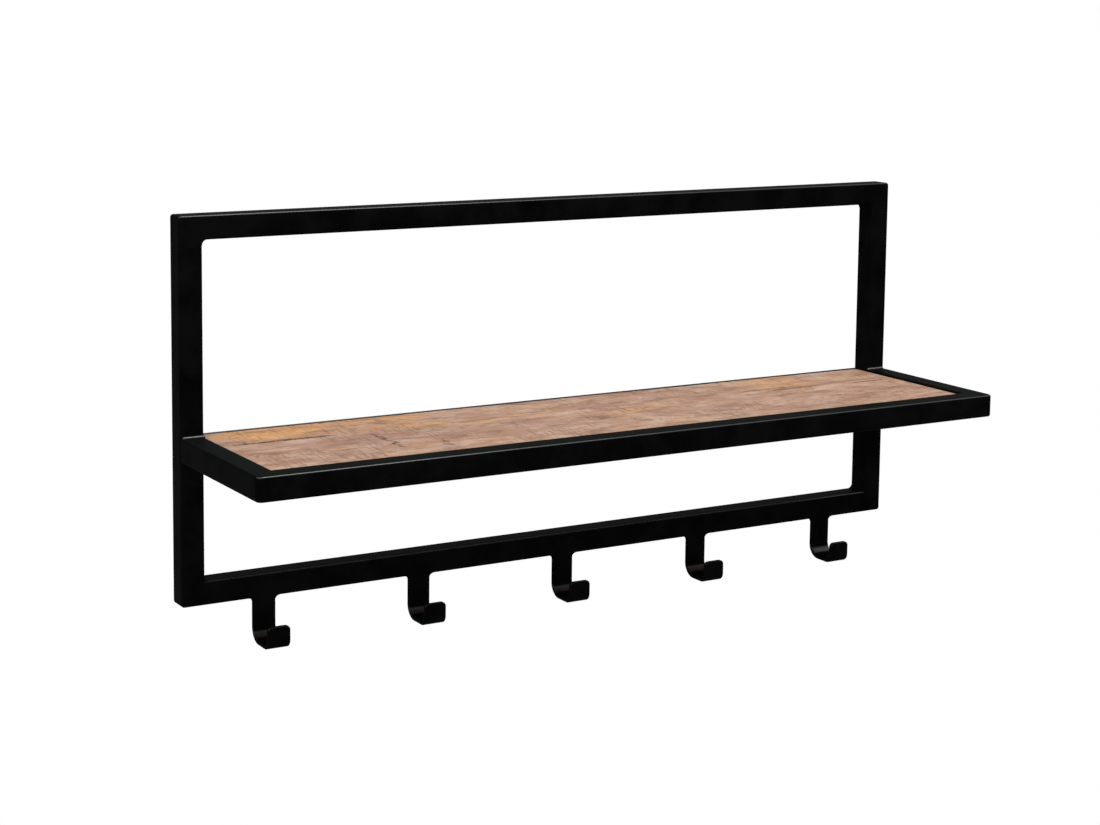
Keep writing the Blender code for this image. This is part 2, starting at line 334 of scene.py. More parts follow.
def black_paint_material(name, props, polish, gloss):
    """Satin powder coat: orange peel, dust and a painted sheen on faces that look up, a painted highlight on
    the upper front corners, and rounded corners that shine.

    polish is how much clear shine the upper front corners have, and gloss is how rough that shine is."""
    made, tree, shader = new_material(name)
    point = tree.add("ShaderNodeTexCoord", output="Object")
    z = tree.split(point)[2]
    nx, ny, nz = tree.split(tree.add("ShaderNodeNewGeometry", output="Normal"))
    # Dust and the painted top sheen both stop below the shelf: the shelf keeps dust off the bottom rail, and
    # this also paints the shelf's shade on it.
    open_to_dust_and_light = tree.band(z, SHELF_BOTTOM - 0.1, SHELF_BOTTOM)
    patches = tree.noise(point, 28.0, 4.0)
    specks = tree.noise(point, 420.0, 2.0)
    peel = tree.noise(point, 780.0, 2.0)
    flattest = tree.largest(tree.largest(abs(nx), abs(ny)), abs(nz))
    bent = tree.band(1 - flattest, 0.03, 0.2)
    corner = bent * tree.band(patches, 0.35, 0.6)
    upper_front = tree.band(nz, 0.15, 0.6) * tree.band(ny, -0.1, -0.4)
    # Dust with a painted sheen: faces that look up are painted lighter, partly dust and partly painted light
    # from above.
    dust_and_sheen = tree.band(nz, 0.75, 0.97) * tree.band(patches * 0.7 + specks * 0.3, 0.3, 0.62) * open_to_dust_and_light
    cloudy = tree.mix(tree.band(patches, 0.35, 0.65), props.colour, props.thin_colour)
    cloudy = tree.mix(tree.band(specks, 0.5, 0.72) * 0.5, cloudy, props.thin_colour)
    colour = tree.mix(dust_and_sheen, cloudy, props.dust_and_sheen_colour)
    # Painted highlight: patchy pale bluish colour on the rounded corners that face up and to the front, where
    # the top light shines.
    colour = tree.mix(corner * upper_front * 0.8, colour, props.edge_highlight_colour)
    roughness = props.roughness + (patches - 0.5) * 0.14 + dust_and_sheen * 0.1 + (specks - 0.5) * 0.06
    height = peel * props.peel_depth + specks * (props.peel_depth * 0.4)
    tree.feed(shader, {
        "Base Color": colour, "Roughness": roughness, "Normal": tree.bump(height),
        "Specular IOR Level": 0.002, "Coat Weight": bent * upper_front * polish,
        "Coat Roughness": gloss, "Coat IOR": 1.75,
    })
    return made


def black_paint():
    """The one coat that all the steel wears."""
    name, props = "black_powder_coat", bpy.context.scene.rack_paint
    return bpy.data.materials.get(name) or black_paint_material(name, props, polish=0.6, gloss=0.28)


def zinc_material():
    """Zinc-plated steel: brushed grey with faint cloudy and yellowish patches."""
    made, tree, shader = new_material("zinc_plate")
    point = tree.add("ShaderNodeTexCoord", output="Object")
    clouds = tree.noise(point, 420.0, 3.0)
    scratches = tree.noise(point, (2600.0, 420.0, 420.0), 2.0)
    colour = tree.mix(tree.band(clouds, 0.35, 0.7), (0.55, 0.56, 0.57), (0.66, 0.62, 0.52))
    roughness = 0.28 + clouds * 0.16 + scratches * 0.08
    normal = tree.bump(scratches * 0.000012)
    tree.feed(shader, {"Base Color": colour, "Metallic": 1.0, "Roughness": roughness, "Normal": normal})
    return made


def streak(tree, along, across, spread, start, end, place, width, wander):
    """A thin wandering mark: along runs between start and end, and across stays near place."""
    drift = (spread - 0.5) * wander
    middle = tree.band(abs(across - place + drift), width, width * 0.25)
    return middle * tree.band(along, start, start + width * 6) * tree.band(along, end, end - width * 6)


def mango_material(props, name, shift, outer, golden_stretches, pale_spots, cracks, checks):
    """Rough-sawn mango: short figure along the grain, saw marks across it, cracks and golden stretches.

    outer is the side, in Y, of the board's edge that is worn pale. Its other edge, at the seam, gets painted
    shade.
    golden_stretches run between two places in X. cracks run along X and checks along Y: start, end, place
    across, width and strength. pale_spots have a place in X and Y, a reach and a strength."""
    made, tree, shader = new_material(name)
    point = tree.add("ShaderNodeTexCoord", output="Object")
    x, y = tree.split(point)[:2]
    own = tree.scaled(point, (1.0, 1.0, 1.0), shift)
    bend = tree.noise(own, (6.0, 16.0, 16.0), 2.0)
    swing = tree.add("ShaderNodeCombineXYZ", None, {"Y": (bend - 0.5) * 0.05, "Z": (bend - 0.5) * 0.012})
    grain = tree.add("ShaderNodeVectorMath", {"operation": "ADD"}, {0: own, 1: swing})
    figure = tree.noise(grain, (24.0, 110.0, 110.0), 4.0, 0.6)
    bands = tree.noise(grain, (6.0, 48.0, 48.0), 3.0)
    fibres = tree.noise(grain, (60.0, 520.0, 520.0), 3.0, 0.6)
    pores = tree.band(tree.noise(grain, (95.0, 560.0, 560.0), 1.0), 0.6, 0.7)
    blotch = tree.noise(own, (20.0, 44.0, 44.0), 4.0, 0.6, (0.3, 0.0, 0.0))
    red_clouds = tree.noise(own, (15.0, 34.0, 34.0), 3.0, 0.6, (5.3, 2.0, 0.0))
    flecks = tree.noise(own, (210.0, 40.0, 40.0), 3.0, 0.6)
    kerf = (x + bend * 0.03 + y * 0.12 + y * y * KERF_CURVE) * (2 * math.pi / props.kerf_pitch)
    saw = kerf.maths("SINE", kerf) * 0.5 + 0.5
    roughsawn = tree.band(tree.noise(own, 17.0, 3.0), 0.42, 0.6)

    colour = tree.mix(tree.band(blotch, 0.4, 0.62) * 0.75, props.tan, props.pale)
    colour = tree.mix(tree.band(red_clouds, 0.44, 0.64) * 0.6, colour, props.reddish)
    golden = tree.band(bands, 0.52, 0.68) * 0.35
    ragged_x = x + (blotch - 0.5) * 0.16
    for start, end, strength in golden_stretches:
        soft = tree.band(ragged_x, start, start + 0.06) * tree.band(ragged_x, end, end - 0.06) * strength
        golden = tree.largest(golden, soft * tree.band(bands, 0.36, 0.54, 0.35, 1.0))
    colour = tree.mix(golden, colour, props.golden)
    colour = tree.mix(tree.band(bands, 0.54, 0.42) * 0.3, colour, props.reddish)
    colour = tree.mix(tree.band(figure, 0.5, 0.68) * 0.6, colour, props.dark)
    colour = tree.mix(tree.band(figure, 0.46, 0.3) * 0.5, colour, props.pale)
    for place, across, reach, strength in pale_spots:
        near = tree.band(abs(x - place), reach, reach * 0.4) * tree.band(abs(y - across), 0.011, 0.004)
        colour = tree.mix(near * strength, colour, props.pale)
    colour = tree.mix(tree.band(flecks, 0.52, 0.68) * roughsawn * 0.55, colour, props.dark)
    strokes = tree.band(saw, 0.55, 0.95) * roughsawn * tree.band(flecks, 0.38, 0.56)
    colour = tree.mix(strokes * 0.42, colour, props.dark)
    colour = tree.mix(1.0, colour, tree.band(fibres, 0.25, 0.75, 0.84, 1.12), "MULTIPLY")
    colour = tree.mix(pores * 0.4, colour, props.crack)

    wander = tree.noise(own, (60.0, 60.0, 60.0), 3.0, 0.65)
    ragged = tree.band(tree.noise(own, (190.0, 190.0, 190.0), 2.0), 0.36, 0.56)
    depth = pores * 0.25
    for start, end, place, width, strength in cracks:
        mark = streak(tree, x, y, wander, start, end, place, width, 0.006) * strength * (ragged * 0.6 + 0.4)
        colour = tree.mix(mark, colour, props.crack)
        depth = tree.largest(depth, mark)
    for start, end, place, width, strength in checks:
        mark = streak(tree, y, x, wander, start, end, place, width, 0.03) * strength * ragged
        colour = tree.mix(mark, colour, props.crack)
        depth = tree.largest(depth, mark)
    nx, ny, nz = tree.split(tree.add("ShaderNodeNewGeometry", output="Normal"))
    edge = ny * outer
    worn = tree.band(abs(nz), 0.97, 0.85) * tree.band(abs(ny), 0.97, 0.85) * tree.band(edge, 0.0, 0.3)
    colour = tree.mix(worn * 0.65, colour, props.golden)
    # Painted shade: the edge that faces the seam is darkened with the crack colour.
    colour = tree.mix(tree.band(edge, -0.15, -0.6) * 0.3, colour, props.crack)

    roughness = 0.62 + (fibres - 0.5) * 0.16 + depth * 0.15
    height = fibres * 0.00006 + flecks * 0.00009 + saw * roughsawn * props.kerf_depth - depth * 0.0006
    tree.feed(shader, {
        "Base Color": colour, "Roughness": roughness, "Normal": tree.bump(height), "Specular IOR Level": 0.08,
    })
    return made


# Mesh work

def sweep(bm, rings, closed_ends=(True, True)):
    """Adds faces through rings of as many points each, and a face at each closed end."""
    rows = [[bm.verts.new(point) for point in ring] for ring in rings]
    count = len(rows[0])
    for row, following in zip(rows, rows[1:]):
        for i in range(count):
            j = (i + 1) % count
            bm.faces.new((row[i], row[j], following[j], following[i]))
    if closed_ends[0]:
        bm.faces.new(rows[0][::-1])
    if closed_ends[1]:
        bm.faces.new(rows[-1])


def finished_mesh(name, bm):
    """A mesh from a bmesh, smooth except at its real edges."""
    bmesh.ops.recalc_face_normals(bm, faces=bm.faces)
    mesh = bpy.data.meshes.new(name)
    bm.to_mesh(mesh)
    bm.free()
    mesh.shade_smooth()
    mesh.set_sharp_from_angle(angle=SHARP)
    return mesh


def swept_mesh(name, rings):
    """A closed mesh that runs through rings of points."""
    bm = bmesh.new()
    sweep(bm, rings)
    return finished_mesh(name, bm)


def new_object(name, mesh, material=None):
    """An object in the scene, with one material if it is given."""
    made = bpy.data.objects.new(name, mesh)
    bpy.context.scene.collection.objects.link(made)
    if material:
        mesh.materials.clear()
        mesh.materials.append(material)
    return made


def loose_points(name, places, edges=(), **attributes):
    """An object of points and edges, with a number on each point for each attribute."""
    mesh = bpy.data.meshes.new(name)
    mesh.from_pydata(places, edges, [])
    for label, values in attributes.items():
        mesh.attributes.new(label, "FLOAT", "POINT").data.foreach_set("value", values)
    return new_object(name, mesh)


def applied(obj):
    """The same object with its modifiers worked into a plain mesh."""
    graph = bpy.context.evaluated_depsgraph_get()
    mesh = bpy.data.meshes.new_from_object(obj.evaluated_get(graph))
    old = obj.data
    obj.modifiers.clear()
    obj.data = mesh
    mesh.name = obj.name
    if not old.users:
        bpy.data.meshes.remove(old)
    return obj


def finish_piece(piece, slot, *nodes):
    """Sets which body a finished piece rides on and hides the solids that it stands for; slot is not used."""
    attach(piece, BODY)
    if nodes:
        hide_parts(*nodes)


def rounded_section(half_width, half_height, radii, fills, arc_steps=3):
    """Points anticlockwise round a rectangle with rounded corners, from the top of its right side.

    radii are those of the right top, left top, left bottom and right bottom corners. fills say how many
    steps the top, left, bottom and right stretches take."""
    corners = ((1, 1), (-1, 1), (-1, -1), (1, -1))
    centres = [
        Vector((side * (half_width - radius), level * (half_height - radius)))
        for (side, level), radius in zip(corners, radii)
    ]
    points = []
    for number, (centre, radius, steps) in enumerate(zip(centres, radii, fills)):
        for step in range(arc_steps + 1):
            angle = math.pi / 2 * (number + step / arc_steps)
            points.append(centre + radius * Vector((math.cos(angle), math.sin(angle))))
        after = (number + 1) % 4
        turn = math.pi / 2 * (number + 1)
        target = centres[after] + radii[after] * Vector((math.cos(turn), math.sin(turn)))
        start = points[-1]
        points += [start.lerp(target, step / steps) for step in range(1, steps)]
    return points


def level_noise(x, y, scale, layer):
    """Smooth noise from 0 to 1."""
    return 0.5 + 0.5 * noise.noise(Vector((x * scale, y * scale, layer)))


# Boards

def sawn_fall(x, y, layer, props):
    """How far a sawn face lies below the board's flat size: gentle waves and the saw's marks."""
    bend = level_noise(x, y, 14, layer) * 0.012
    saw = 0.5 + 0.5 * math.sin((x + bend + y * y * KERF_CURVE) * 2 * math.pi / props.kerf_pitch)
    rough = max(0.0, level_noise(x, y, 11, layer + 3) - 0.3)
    wave = level_noise(x, y, 9, layer + 7) * 0.0002 + level_noise(x * 0.3, y, 160, layer + 9) * 0.00012
    return wave + saw * rough * props.kerf_depth * 1.6


def board_mesh(name, low, high, props, layer, open_seam):
    """A rough-sawn board between two corners, with long edges worn by different amounts.

    open_seam is how much the worn top edge opens up, for the low and the high side in Y."""
    half_y, half_z = (high.y - low.y) / 2, (high.z - low.z) / 2
    centre_y, centre_z = (high.y + low.y) / 2, (high.z + low.z) / 2
    fills = (round(2 * half_y / props.step), 5, round(half_y / props.step), 5)
    columns = round((high.x - low.x) / props.step)
    end_edge, end_steps = props.arris * 0.5, 3
    turns = [math.pi / 2 * i / end_steps for i in range(end_steps)]
    ends = [(end_edge * (1 - math.cos(turn)), end_edge * (1 - math.sin(turn))) for turn in turns]
    length = high.x - low.x - 2 * end_edge
    places = [(low.x + offset, inset) for offset, inset in ends]
    places += [(low.x + end_edge + length * i / columns, 0.0) for i in range(columns + 1)]
    places += [(high.x - offset, inset) for offset, inset in reversed(ends)]
    rings = []
    for x, inset in places:
        wear = [
            props.arris * (0.3 + share * level_noise(x, corner, 14 if share > 0.5 else 30, layer + corner))
            for corner, share in enumerate((open_seam[1], open_seam[0], 0.3, 0.3))
        ]
        ring = []
        for u, v in rounded_section(half_y - inset, half_z - inset, wear, fills):
            y, z = centre_y + u, centre_z + v
            share = max(0.0, min(1.0, (v + half_z * 0.9) / (half_z * 1.8)))
            ring.append((x, y, z - sawn_fall(x, y, layer, props) * (2 * share - 1)))
        rings.append(ring)
    return swept_mesh(name, rings)


class RACK_OT_boards(bpy.types.Operator):
    """Make the two rough-sawn boards that lie in the shelf's frame"""

    bl_idname = "rack.boards"
    bl_label = "Boards"

    def execute(self, context):
        props = context.scene.rack_wood
        back_low, back_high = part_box("shelf_board_back")
        front_low, front_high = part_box("shelf_board_front")
        seam = back_low.y
        golden = ((-0.42, -0.14, 0.95), (0.20, 0.345, 0.5), (-0.08, -0.03, 0.4))
        back_cracks = (
            (0.20, 0.30, seam + 0.004, 0.0026, 0.6),
            (-0.415, -0.30, seam + 0.001, 0.0034, 0.9),
            (-0.10, -0.04, seam + 0.010, 0.0026, 0.4),
        )
        front_cracks = (
            (-0.42, -0.295, seam - 0.001, 0.0036, 1.0),
            (0.235, 0.325, seam - 0.005, 0.0046, 0.75),
            (0.345, 0.415, seam - 0.009, 0.0040, 0.7),
            (0.280, 0.325, seam - 0.061, 0.0038, 0.5),
            (-0.03, 0.03, seam - 0.055, 0.0030, 0.4),
        )
        front_checks = (
            (seam - 0.100, seam - 0.004, -0.264, 0.0040, 0.9),
            (seam - 0.118, seam - 0.055, -0.215, 0.0034, 0.6),
            (seam - 0.085, seam - 0.052, -0.346, 0.0036, 0.6),
            (seam - 0.127, seam - 0.094, -0.125, 0.0032, 0.55),
            (seam - 0.105, seam - 0.088, -0.166, 0.0030, 0.5),
            (seam - 0.092, seam - 0.052, 0.018, 0.0034, 0.5),
            (seam - 0.076, seam - 0.050, 0.171, 0.0030, 0.5),
            (seam - 0.066, seam - 0.052, 0.258, 0.0040, 0.6),
        )
        pale_spots = ((-0.340, seam - 0.009, 0.028, 0.8), (-0.006, seam - 0.010, 0.016, 0.6))
        back = mango_material(
            props, "mango_wood_back", (0.0, 0.31, 0.0), 1, golden, (), back_cracks, (),
        )
        front = mango_material(
            props, "mango_wood_front", (1.7, 0.0, 0.4), -1, (), pale_spots, front_cracks, front_checks,
        )
        boards = (
            ("back_board", "shelf_board_back", back_low, back_high, back, 2.0, (0.5, 0.3)),
            ("front_board", "shelf_board_front", front_low, front_high, front, 31.0, (0.4, 0.5)),
        )
        for name, node, low, high, material, layer, open_seam in boards:
            mesh = board_mesh(name, low, high, props, layer, open_seam)
            finish_piece(new_object(name, mesh, material), "mango_wood", node)
        return {"FINISHED"}


# Hooks

def bar_thickness(name, low):
    """A hook's thickness: its floor above its lowest point."""
    return MOUNTS[name + "_floor"].z - low.z


def hook_path(low, high, thick, props):
    """The hook's middle line: Y, Z and direction at each ring, and how far its sides and faces draw in."""
    back, front = props.back_bend - thick / 2, props.front_bend - thick / 2
    floor = low.z + thick / 2
    stem_y, lip_y = high.y - thick / 2, low.y + thick / 2
    corner, corner_steps = props.lip_corner, 8
    corner_z = low.z + props.lip - corner
    path = [
        (stem_y, FRAME_BOTTOM + props.rail_corner, -90.0, 0.0, 0.0),
        (stem_y, floor + back + thick / 2, -90.0, 0.0, 0.0),
    ]

    def bend(centre_y, radius, start, end, steps):
        for step in range(steps + 1):
            angle = start + (end - start) * step / steps
            turn = math.radians(angle)
            y, z = centre_y + radius * math.cos(turn), floor + radius + radius * math.sin(turn)
            path.append((y, z, angle - 90.0, 0.0, 0.0))

    bend(stem_y - back, back, 0.0, -90.0, 18)
    bend(lip_y + front, front, -90.0, -180.0, 14)
    for step in range(corner_steps + 1):
        turn = math.pi / 2 * step / corner_steps * 0.96
        rise, inset = corner * math.sin(turn), corner * (1 - math.cos(turn))
        thin = max(0.0, rise - corner + props.edge)
        path.append((lip_y, corner_z + rise, -270.0, inset, thin * 0.8))
    return path


def hook_mesh(low, high, thick, props):
    """One flat bar bent to a J, with rounded edges and a rounded lip."""
    half_width = (high.x - low.x) / 2
    rings = []
    for y, z, angle, inset, thin in hook_path(low, high, thick, props):
        turn = math.radians(angle + 90)
        outward = Vector((0, math.cos(turn), math.sin(turn)))
        section = rounded_section(half_width - inset, thick / 2 - thin, (props.edge,) * 4, (4, 1, 4, 1))
        rings.append([Vector((u, y, z)) + v * outward for u, v in section])
    return swept_mesh("hook_bar", rings)


def group_tree(name, **inputs):
    """A Geometry Nodes tree with a mesh in and out and these inputs. Returns it and its inputs' values."""
    tree = bpy.data.node_groups.new(name, "GeometryNodeTree")
    tree.interface.new_socket("Geometry", in_out="INPUT", socket_type="NodeSocketGeometry")
    for label, kind in inputs.items():
        tree.interface.new_socket(label, in_out="INPUT", socket_type="NodeSocket" + kind)
    tree.interface.new_socket("Geometry", in_out="OUTPUT", socket_type="NodeSocketGeometry")
    nodes = Nodes(tree)
    entry = nodes.add("NodeGroupInput", output=None)
    return nodes, {socket.name: Value(socket) for socket in entry.outputs if socket.name}


def close_tree(nodes, copies, material):
    """Ends a tree: copies of a shape on points, made real and given their material."""
    placed = nodes.add("GeometryNodeInstanceOnPoints", None, copies)
    whole = nodes.add("GeometryNodeRealizeInstances", None, {"Geometry": placed})
    painted = nodes.add("GeometryNodeSetMaterial", None, {"Geometry": whole, "Material": material})
    nodes.add("NodeGroupOutput", None, {0: painted}, None)


def shape_of(nodes, value):
    return nodes.add("GeometryNodeObjectInfo", None, {"Object": value}, "Geometry")


def attribute(nodes, name):
    return nodes.add("GeometryNodeInputNamedAttribute", {"data_type": "FLOAT"}, {"Name": name})


def random_number(nodes, low, high, seed):
    sockets = {"Min_001": low, "Max_001": high, "Seed": seed}
    return nodes.add("FunctionNodeRandomValue", {"data_type": "FLOAT"}, sockets, "Value_001")


def grown(obj, nodes, **inputs):
    """Runs a tree on an object with its inputs set by identifier, and returns the object as a plain mesh."""
    modifier = obj.modifiers.new(nodes.tree.name, "NODES")
    modifier.node_group = nodes.tree
    for item in nodes.tree.interface.items_tree:
        if item.in_out == "INPUT" and item.name.lower() in inputs:
            modifier[item.identifier] = inputs[item.name.lower()]
    return applied(obj)


def hook_row_tree():
    """A row of one hook, set out evenly either side of the middle."""
    nodes, values = group_tree("hook_row", Hook="Object", Count="Int", Pitch="Float", Material="Material")
    start = (values["Count"] - 1) * values["Pitch"] * -0.5
    first = nodes.add("ShaderNodeCombineXYZ", None, {"X": start})
    step = nodes.add("ShaderNodeCombineXYZ", None, {"X": values["Pitch"]})
    sockets = {"Count": values["Count"], "Start Location": first, "Offset": step}
    row = nodes.add("GeometryNodeMeshLine", {"mode": "OFFSET"}, sockets)
    close_tree(nodes, {"Points": row, "Instance": shape_of(nodes, values["Hook"])}, values["Material"])
    return nodes


class RACK_OT_hooks(bpy.types.Operator):
    """Bend one flat-bar hook and set out the row of them along the bottom rail"""

    bl_idname = "rack.hooks"
    bl_label = "Hooks"

    def execute(self, context):
        props = context.scene.rack_hooks
        middle = HOOKS[len(HOOKS) // 2]
        low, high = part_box(middle)
        thick = bar_thickness(middle, low)
        pitch = (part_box(HOOKS[-1])[0].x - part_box(HOOKS[0])[0].x) / (len(HOOKS) - 1)
        bar = new_object("hook_bar", hook_mesh(low, high, thick, props))
        row = loose_points("coat_hooks", [])
        grown(row, hook_row_tree(), hook=bar, count=len(HOOKS), pitch=pitch, material=black_paint())
        bpy.data.objects.remove(bar)
        finish_piece(row, "black_paint", *HOOKS)
        return {"FINISHED"}


# Welds

def weld_tree():
    """Flattened ripples that overlap along each weld line, like the scales of a hand-laid bead."""
    nodes, values = group_tree("weld_beads", Pitch="Float", Seed="Int", Material="Material")
    lines = nodes.add("GeometryNodeMeshToCurve", None, {"Mesh": values["Geometry"]})
    sockets = {"Curve": lines, "Length": values["Pitch"]}
    points = nodes.add("GeometryNodeResampleCurve", {"mode": "LENGTH"}, sockets)
    size = attribute(nodes, "bead_radius") * random_number(nodes, 0.95, 1.04, values["Seed"])
    scale = nodes.add("ShaderNodeCombineXYZ", None, {"X": size * 0.85, "Y": size, "Z": size})
    tangent = nodes.add("GeometryNodeInputTangent")
    turned = nodes.add("FunctionNodeAlignRotationToVector", {"axis": "X"}, {"Vector": tangent})
    ball = nodes.add("GeometryNodeMeshUVSphere", None, {"Segments": 10, "Rings": 6, "Radius": 1.0})
    smooth = nodes.add("GeometryNodeSetShadeSmooth", None, {"Geometry": ball})
    copies = {"Points": points, "Instance": smooth, "Rotation": turned, "Scale": scale}
    close_tree(nodes, copies, values["Material"])
    return nodes


def weld_lines(props):
    """Each weld's two ends and its bead's radius: arms to posts, the angle, hooks to the rail, and tabs."""
    bead, plate, flush = props.tube_bead, props.plate_bead, props.flush_bead
    stop, short_stop = 0.002, 0.001  # how far beads stop short of a corner
    below_rail, behind_hook, beyond_angle, inset = 0.0005, 0.0006, 0.0002, 0.0003  # of a bead's middle
    top, bottom = SHELF_TOP - bead / 4, SHELF_BOTTOM + bead / 4
    toe, heel, sole = ANGLE_LOW.y + short_stop, ANGLE_HIGH.y - stop, ANGLE_LOW.z
    lines = []
    for side in SIDES:
        inner, outer = side * (INNER_X + bead / 2), side * (OUTER_X - bead * 1.15)
        side_x, end = side * (OUTER_X - flush - inset), side * (ANGLE_HIGH.x + beyond_angle)
        lines += [
            ([(inner, -TUBE, top), (outer, -TUBE, top)], bead),
            ([(inner, -TUBE, bottom), (outer, -TUBE, bottom)], bead),
            ([(side_x, -TUBE, top - stop), (side_x, -TUBE, bottom + stop)], flush),
            ([(end, heel, sole), (end, toe, sole)], plate),
            ([(end, toe, sole), (end, toe, sole + stop)], plate),
        ]
    for name in HOOKS:
        low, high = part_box(name)
        y, z = high.y + behind_hook, FRAME_BOTTOM - below_rail
        lines.append(([(low.x + short_stop, y, z), (high.x - short_stop, y, z)], plate))
    for name in TABS:
        low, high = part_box(name)
        if "front" in name:
            ends = [(low.x + stop, low.y, low.z), (high.x - stop, low.y, low.z)]
        else:
            x = low.x if low.x < 0 else high.x
            ends = [(x, low.y + stop, low.z), (x, high.y - stop, low.z)]
        lines.append((ends, plate))
    return lines


class RACK_OT_welds(bpy.types.Operator):
    """Lay the rippled weld beads at the arms, hooks, tabs and the angle"""

    bl_idname = "rack.welds"
    bl_label = "Weld beads"

    def execute(self, context):
        props = context.scene.rack_welds
        lines = weld_lines(props)
        corners = [corner for ends, _ in lines for corner in ends]
        radii = [radius for _, radius in lines for _ in range(2)]
        edges = [(2 * i, 2 * i + 1) for i in range(len(lines))]
        beads = loose_points("weld_beads", corners, edges, bead_radius=radii)
        paint = context.scene.rack_paint
        weld_paint = black_paint_material("painted_weld", paint, polish=1.0, gloss=0.12)
        grown(beads, weld_tree(), pitch=props.pitch, seed=props.seed, material=weld_paint)
        finish_piece(beads, "black_paint")
        return {"FINISHED"}


# Corner fillets

def fillet_mesh():
    """A concave corner weld of unit size, in the corner between +X and +Z, one unit deep in Y."""
    steps, edge, root = 8, 0.08, -0.15
    arc = [math.radians(-90 - 90 * step / steps) for step in range(steps + 1)]
    rings = []
    for y, inset in ((-0.5, edge), (-0.5 + edge, edge * 0.3), (-0.5 + 2 * edge, 0), (0.5, 0)):
        hollow = [(1 + math.cos(a) - inset * 0.6, 1 + math.sin(a) - inset * 0.6) for a in arc]
        outline = [(root, root), (hollow[0][0], root)] + hollow + [(root, hollow[-1][1])]
        rings.append([(x, y, z) for x, z in outline])
    return swept_mesh("fillet", rings)


def fillet_tree():
    """A fillet at every point, with the turn, size and depth that the point carries."""
    nodes, values = group_tree("corner_fillets", Fillet="Object", Material="Material")
    size = attribute(nodes, "size")
    rotation = nodes.add("ShaderNodeCombineXYZ", None, {"Y": attribute(nodes, "turn")})
    scale = nodes.add("ShaderNodeCombineXYZ", None, {"X": size, "Y": attribute(nodes, "depth"), "Z": size})
    copies = {"Points": values["Geometry"], "Instance": shape_of(nodes, values["Fillet"])}
    close_tree(nodes, {**copies, "Rotation": rotation, "Scale": scale}, values["Material"])
    return nodes


def fillet_spots(props):
    """Each fillet's corner, its turn about Y in quarters, its size and its depth."""
    spots = []
    depth = TUBE - 0.0008  # a little behind the tube's two faces
    for side in SIDES:
        x = side * INNER_X
        spots.append(((x, -TUBE / 2, FRAME_TOP - TUBE), 2 if side > 0 else 1, props.top_fillet, depth))
        spots.append(((x, -TUBE / 2, FRAME_BOTTOM + TUBE), 3 if side > 0 else 0, props.bottom_fillet, depth))
    for name in HOOKS:
        low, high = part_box(name)
        thick = bar_thickness(name, low)
        y, depth = high.y - thick * 0.4, thick * 0.75
        spots.append(((low.x, y, FRAME_BOTTOM), 2, props.hook_fillet * 0.65, depth))
        spots.append(((high.x, y, FRAME_BOTTOM), 1, props.hook_fillet, depth))
    return spots


class RACK_OT_fillets(bpy.types.Operator):
    """Fill the wall frame's inner corners and both sides of each hook's stem"""

    bl_idname = "rack.fillets"
    bl_label = "Corner fillets"

    def execute(self, context):
        places, quarters, sizes, depths = zip(*fillet_spots(context.scene.rack_welds))
        turns = [count * math.pi / 2 for count in quarters]
        fillets = loose_points("corner_fillets", places, turn=turns, size=sizes, depth=depths)
        unit = new_object("fillet", fillet_mesh())
        grown(fillets, fillet_tree(), fillet=unit, material=black_paint())
        bpy.data.objects.remove(unit)
        finish_piece(fillets, "black_paint")
        return {"FINISHED"}


# Screws

def turned_ring(radius, z, turn=0.0, ridge=0.0):
    """A level circle of points. A ridge swells it once on the way round, at the thread's turn."""
    points, steps = [], 24
    for step in range(steps):
        share = step / steps
        swell = radius + max(0.0, 1 - abs(((share - turn) % 1.0) - 0.5) * 5) * ridge
        angle = 2 * math.pi * share
        points.append((swell * math.cos(angle), swell * math.sin(angle), z))
    return points


def screw_mesh(radius, length, props):
    """A pan-head wood screw that stands on its head, with its thread, before the recess is cut."""
    head, shank, tip = props.head_height, props.shank_radius, 0.00008
    dome_steps, turn_steps = 8, 5
    rings = []
    for step in range(dome_steps + 1):
        turn = math.pi / 2 * (0.25 + 0.75 * step / dome_steps)
        rings.append(turned_ring(radius * math.sin(turn), head * 0.8 * (1 - math.cos(turn))))
    rings.append(turned_ring(radius * 0.99, head * 0.94))
    rings.append(turned_ring(radius * 0.94, head))
    rings.append(turned_ring(shank, head))
    steps = round((length - head) / props.thread_pitch * turn_steps)
    for step in range(1, steps):
        z = head + (length - head) * step / steps
        to_tip = (length - z) / (2 * shank)
        core = shank * 0.72 * min(1.0, max(0.12, to_tip))
        rings.append(turned_ring(core, z, z / props.thread_pitch, shank * 0.28 * min(1.0, to_tip + 0.2)))
    rings.append(turned_ring(tip, length))
    return swept_mesh("screw_blank", rings)


def recess_cutter(props):
    """Two crossed blocks that narrow upwards, as a cross-head driver leaves them."""
    bm = bmesh.new()
    width, depth, below = props.recess_width, props.recess_depth, 0.0006
    for turn in (0.0, math.pi / 2):
        for vertex in bmesh.ops.create_cube(bm, size=1)["verts"]:
            share = 0.45 if vertex.co.z > 0 else 1.0
            x, y = vertex.co.x * width * share, vertex.co.y * width * 0.24 * share
            z = (vertex.co.z + 0.5) * (depth + below) - below
            vertex.co = Matrix.Rotation(turn, 3, "Z") @ Vector((x, y, z))
    mesh = bpy.data.meshes.new("recess")
    bm.to_mesh(mesh)
    bm.free()
    return new_object("recess", mesh)


def screw_tree():
    """A screw at every point, each turned by chance."""
    nodes, values = group_tree("screw_set", Screw="Object", Seed="Int", Material="Material")
    turn = random_number(nodes, 0.0, math.tau, values["Seed"])
    rotation = nodes.add("ShaderNodeCombineXYZ", None, {"Z": turn})
    copies = {"Points": values["Geometry"], "Instance": shape_of(nodes, values["Screw"])}
    close_tree(nodes, {**copies, "Rotation": rotation}, values["Material"])
    return nodes


